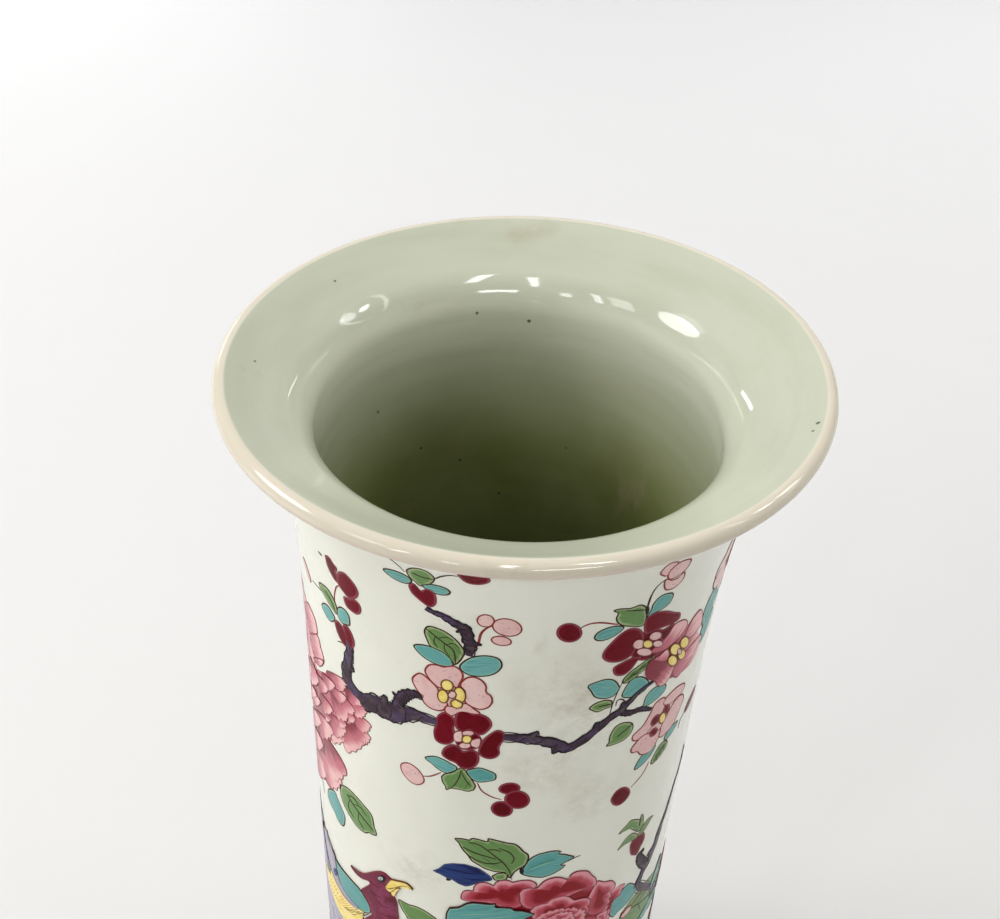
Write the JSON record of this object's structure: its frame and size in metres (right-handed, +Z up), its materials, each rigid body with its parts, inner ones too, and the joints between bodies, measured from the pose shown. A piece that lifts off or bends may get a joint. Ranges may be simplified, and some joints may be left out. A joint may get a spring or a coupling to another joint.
{
  "type": "spill vase",
  "caption": "Straight cylindrical porcelain spill vase with a flared mouth, rounded lip and turned foot ring, open at the top to hold spills, brushes or cut stems.",
  "frame": {"origin": "centre of the flat face of the foot ring that the vase stands on", "axes": "+Z up along the vase's axis, out of the mouth; the camera of the picture looks along +Y"},
  "size_m": [0.12, 0.12, 0.26],
  "materials": {
    "bare_clay": "unglazed fired clay, matt",
    "pale_glaze": "pale grey-green glossy glaze over white porcelain, painted in raised enamels",
    "seam_glaze": "slip under the same glossy glaze, slightly darker and pinker",
    "cream_glaze": "cream glossy glaze on the rounded lip",
    "pink_enamel": "raised opaque pink enamel, shaded from white to rose, glossy",
    "ruby_enamel": "raised ruby enamel, glossy",
    "turquoise_enamel": "raised turquoise enamel, glossy",
    "green_enamel": "raised leaf-green enamel, glossy",
    "blue_enamel": "raised blue enamel, glossy",
    "yellow_enamel": "raised yellow enamel, glossy",
    "aubergine_enamel": "raised grey-brown to aubergine enamel of the branches, glossy",
    "line_enamel": "fine drawn lines in dark iron red and brown under the enamels, satin"
  },
  "bodies": {
    "root": {"foot_ring": "bare_clay", "base_floor": "pale_glaze", "lower_wall": "pale_glaze", "body_seam": "seam_glaze", "upper_wall": "pale_glaze", "mouth_seam": "seam_glaze", "mouth_flare": "pale_glaze", "lip_roll": "cream_glaze"}
  },
  "joints": []
}
